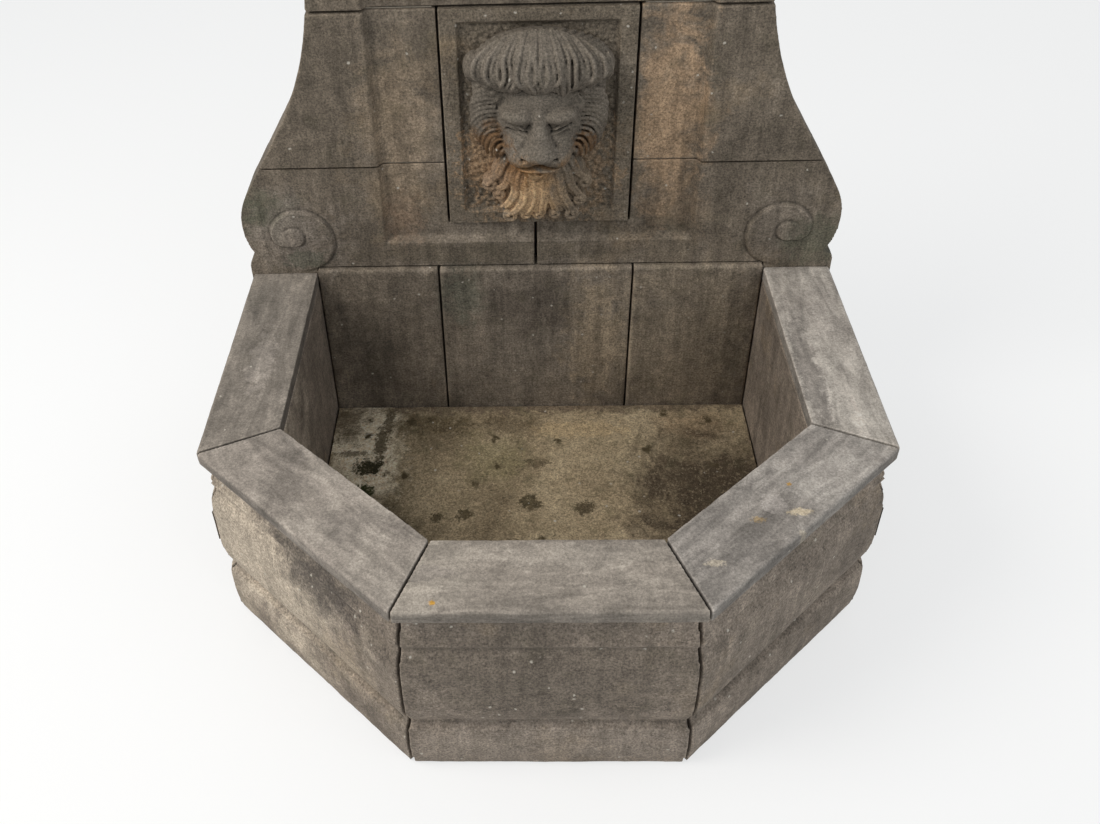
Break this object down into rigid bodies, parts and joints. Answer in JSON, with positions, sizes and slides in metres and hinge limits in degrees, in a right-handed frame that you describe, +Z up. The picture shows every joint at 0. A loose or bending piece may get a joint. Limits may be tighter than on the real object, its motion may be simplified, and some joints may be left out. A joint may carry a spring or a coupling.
{
  "type": "wall fountain",
  "caption": "Stone garden wall fountain: a half-hexagonal moulded basin with a mitred coping, in front of a scrolled back with a sunk field and a carved lion mask that spouts the water.",
  "frame": {"origin": "on the ground under the back, on the centre line, in the plane of the back blocks' front face", "axes": "+X to the right as seen from in front, +Y back into the garden wall, +Z up"},
  "size_m": [1.5118, 1.192, 1.46],
  "materials": {
    "coping_stone": "honed limestone, weathered light grey",
    "wall_stone": "worked limestone, weathered grey-brown",
    "back_stone": "worked limestone, weathered grey-brown with ochre patches",
    "floor_stone": "rough limestone with grit and moss",
    "mask_stone": "carved limestone, weathered",
    "mortar": "lime mortar",
    "stainless": "brushed stainless steel",
    "copper": "aged copper tube",
    "brass": "aged brass"
  },
  "bodies": {
    "root": {"coping_left": "coping_stone", "coping_front_left": "coping_stone", "coping_front": "coping_stone", "coping_front_right": "coping_stone", "coping_right": "coping_stone", "wall_left": "wall_stone", "wall_front_left": "wall_stone", "wall_front": "wall_stone", "wall_front_right": "wall_stone", "wall_right": "wall_stone", "wall_cramps": "stainless", "wall_corner_mortar": "mortar", "coping_corner_mortar": "mortar", "basin_floor": "floor_stone", "drain_outlet": "brass", "drain_grid": "brass", "back_slab_left": "back_stone", "back_slab_middle": "back_stone", "back_slab_right": "back_stone", "back_dowels": "stainless", "mortar_beds": "mortar", "upright_mortar": "mortar", "block_lower_left": "back_stone", "block_lower_right": "back_stone", "block_upper_left": "back_stone", "block_upper_right": "back_stone", "lintel": "back_stone", "cornice": "back_stone", "spout_pipe": "copper", "riser_pipe": "copper", "pipe_elbow": "brass", "pipe_clips": "brass", "pipe_coupling": "brass", "lion_panel": "mask_stone"}
  },
  "joints": []
}
